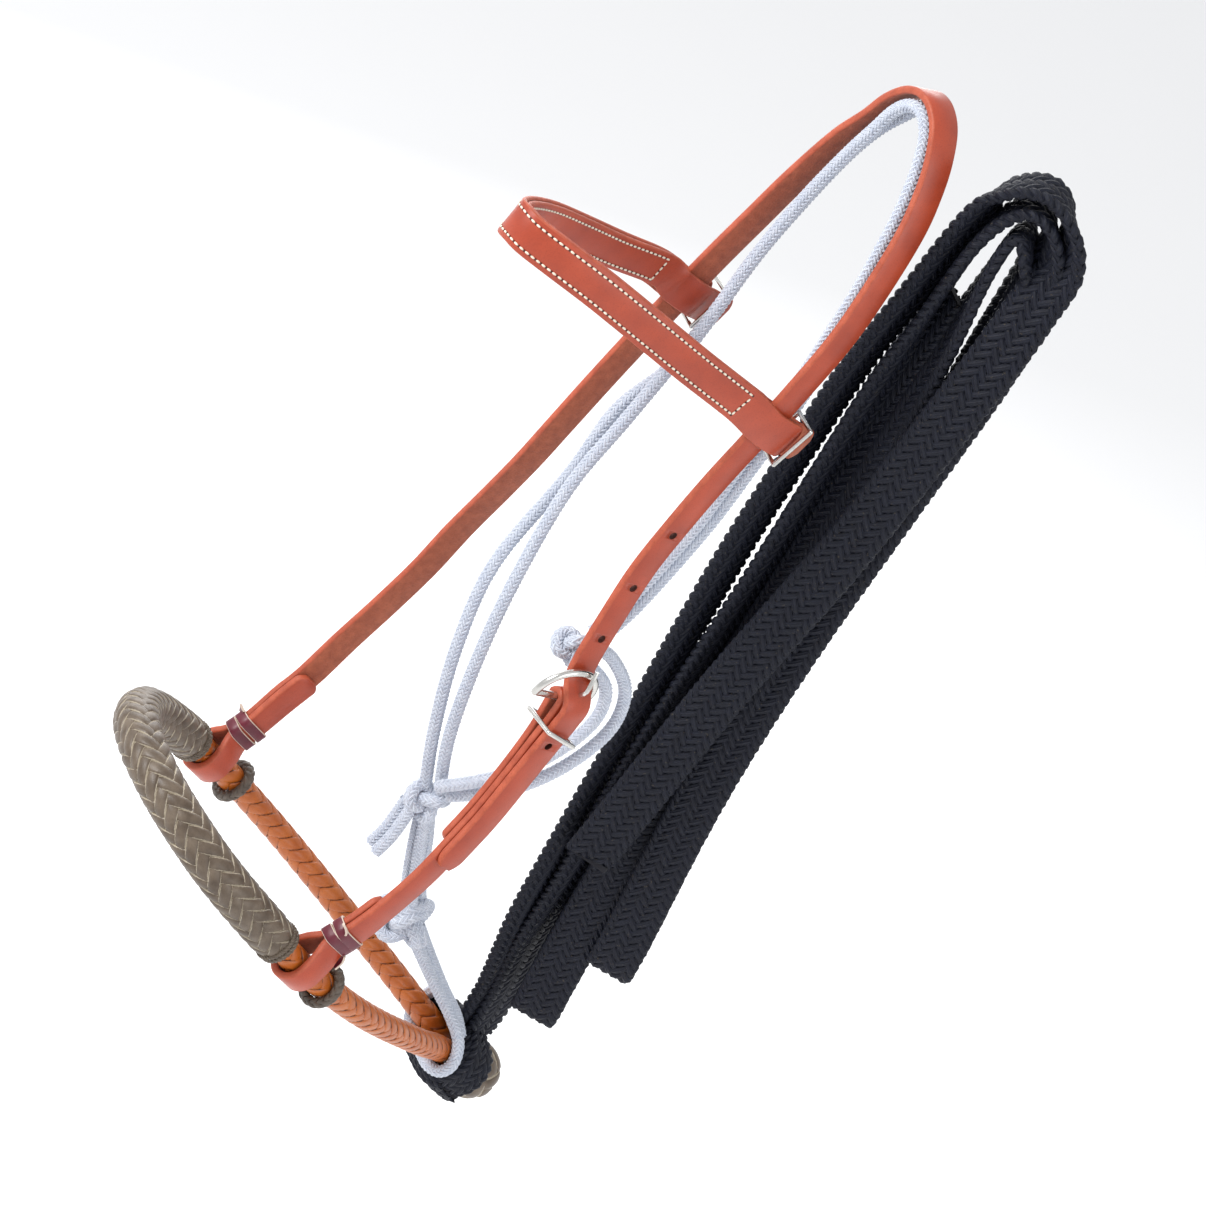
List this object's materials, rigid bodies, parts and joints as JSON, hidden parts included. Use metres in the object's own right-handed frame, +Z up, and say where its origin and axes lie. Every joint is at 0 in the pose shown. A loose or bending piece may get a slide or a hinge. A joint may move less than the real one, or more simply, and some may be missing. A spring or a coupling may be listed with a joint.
{
  "type": "bosal hackamore set",
  "caption": "Bosal hackamore set: leather headstall with browband, braided bosal, doubled rope fiador and flat braided reins folded in a hank.",
  "frame": {"origin": "middle of the crown strap at its highest point, where the set hangs", "axes": "+Z up against gravity, -Y towards the horse's nose, +X towards the near (buckle) side"},
  "size_m": [0.1873, 0.3414, 0.6985],
  "materials": {
    "harness_leather": "smooth russet harness leather, edges rubbed darker",
    "latigo_lace": "soft burgundy latigo with pale cut edges",
    "nickel_wire": "nickel-plated steel wire",
    "stitch_thread": "waxed cream thread",
    "rawhide_core": "plain dry rawhide",
    "rawhide_braid": "braided brown-grey rawhide strands with pale edges",
    "shank_leather": "braided orange-tan leather strands",
    "white_rope": "solid-braid white cotton rope",
    "black_rein": "flat-braided black cotton yarn"
  },
  "bodies": {
    "headstall": {"crown_strap": "harness_leather", "near_cheek_piece": "harness_leather", "near_tie_lace": "latigo_lace", "far_tie_lace": "latigo_lace", "fiador_upper_knot": "white_rope", "fiador_tail": "white_rope", "fiador_throat_front": "white_rope", "fiador_throat_back": "white_rope", "fiador_tie_knot": "white_rope", "fiador_bight_outer": "white_rope", "fiador_bight_inner": "white_rope", "rein_strand_front": "black_rein", "rein_strand_back": "black_rein", "rein_hank": "black_rein"},
    "buckle": {"buckle_frame": "nickel_wire"},
    "tongue": {"buckle_tongue": "nickel_wire"},
    "keeper": {"wire_keeper": "nickel_wire"},
    "browband": {"browband_face": "harness_leather", "browband_lining": "harness_leather", "browband_stitching": "stitch_thread", "near_browband_dee": "nickel_wire", "far_browband_dee": "nickel_wire"},
    "bosal": {"bosal_core": "rawhide_core", "near_shank_braid": "shank_leather", "far_shank_braid": "shank_leather", "nose_button": "rawhide_braid", "near_side_ring": "rawhide_braid", "far_side_ring": "rawhide_braid", "heel_knot": "rawhide_braid", "heel_tip": "shank_leather", "fiador_heel_loop": "white_rope", "fiador_lower_knot": "white_rope", "fiador_neck": "white_rope", "rein_heel_wraps": "black_rein"}
  },
  "joints": [
    {"name": "buckle_pivot", "type": "hinge", "parent": "headstall", "child": "buckle", "pos_m": [0.07, -0.077, -0.344], "axis": [-0.0527, 0.9841, -0.1698], "range_deg": [-1, 6]},
    {"name": "tongue_pivot", "type": "hinge", "parent": "buckle", "child": "tongue", "pos_m": [0.07, -0.077, -0.344], "axis": [-0.0527, 0.9841, -0.1698], "range_deg": [0, 6]},
    {"name": "keeper_slide", "type": "slide", "parent": "headstall", "child": "keeper", "axis": [0.1043, -0.2419, -0.9647], "range_m": [-0.003, 0.006]},
    {"name": "browband_slide", "type": "slide", "parent": "headstall", "child": "browband", "axis": [0, -0.287, -0.9579], "range_m": [-0.008, 0.008]},
    {"name": "bosal_swing", "type": "hinge", "parent": "headstall", "child": "bosal", "pos_m": [0.0064, -0.1526, -0.53], "axis": [0.9992, -0.0319, 0.0227], "range_deg": [-3, 3]}
  ]
}
